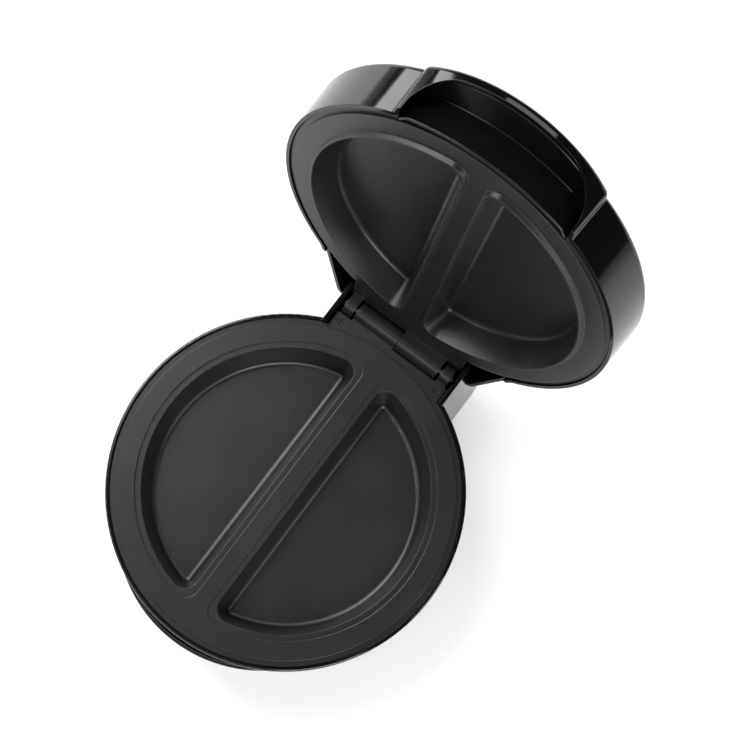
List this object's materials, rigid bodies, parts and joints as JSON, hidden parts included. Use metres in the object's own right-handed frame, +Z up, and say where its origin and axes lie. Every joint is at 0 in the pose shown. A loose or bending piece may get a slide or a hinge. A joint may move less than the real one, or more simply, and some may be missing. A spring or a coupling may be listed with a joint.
{
  "type": "electric omelette maker",
  "caption": "Round countertop omelette cooker with a hinged lid, half-moon non-stick pockets and a lifting visor, shown open.",
  "frame": {"origin": "on the table, under the middle of the open appliance's outline", "axes": "+Z up, +X along the hinge towards the cook's right, -Y towards the handle side"},
  "size_m": [0.1914, 0.2706, 0.251],
  "materials": {
    "gloss_black": "polished black moulding",
    "matte_black": "fine grained black moulding",
    "black_rubber": "soft matt",
    "nonstick_coating": "satin charcoal non-stick coating with a fine speckle",
    "heater_steel": "satin steel",
    "sheet_aluminium": "plain rolled sheet",
    "dark_steel": "blackened steel",
    "red_lens": "clear tinted",
    "green_lens": "clear tinted"
  },
  "bodies": {
    "base": {"base_shell": "gloss_black", "bottom_cover": "matte_black", "rubber_feet": "black_rubber", "lower_plate": "nonstick_coating", "lower_heater": "heater_steel", "lower_reflector": "sheet_aluminium", "thermostat": "sheet_aluminium", "thermal_fuse": "sheet_aluminium", "terminal_block": "matte_black", "cord_gland": "black_rubber", "hinge_pin": "heater_steel", "pin_clips": "dark_steel", "lower_ear_screws": "dark_steel", "lower_reflector_screws": "heater_steel", "cover_screws": "dark_steel"},
    "lid": {"lid_shell": "gloss_black", "handle_insert": "gloss_black", "upper_plate": "nonstick_coating", "upper_heater": "heater_steel", "upper_reflector": "sheet_aluminium", "lamp_holder": "matte_black", "power_lens": "red_lens", "ready_lens": "green_lens", "upper_ear_screws": "dark_steel", "upper_reflector_screws": "heater_steel"}
  },
  "joints": [
    {"name": "lid_hinge", "type": "hinge", "parent": "base", "child": "lid", "pos_m": [0, 0.06226, 0.0539], "axis": [1, 0, 0], "range_deg": [0, 101.4]}
  ]
}
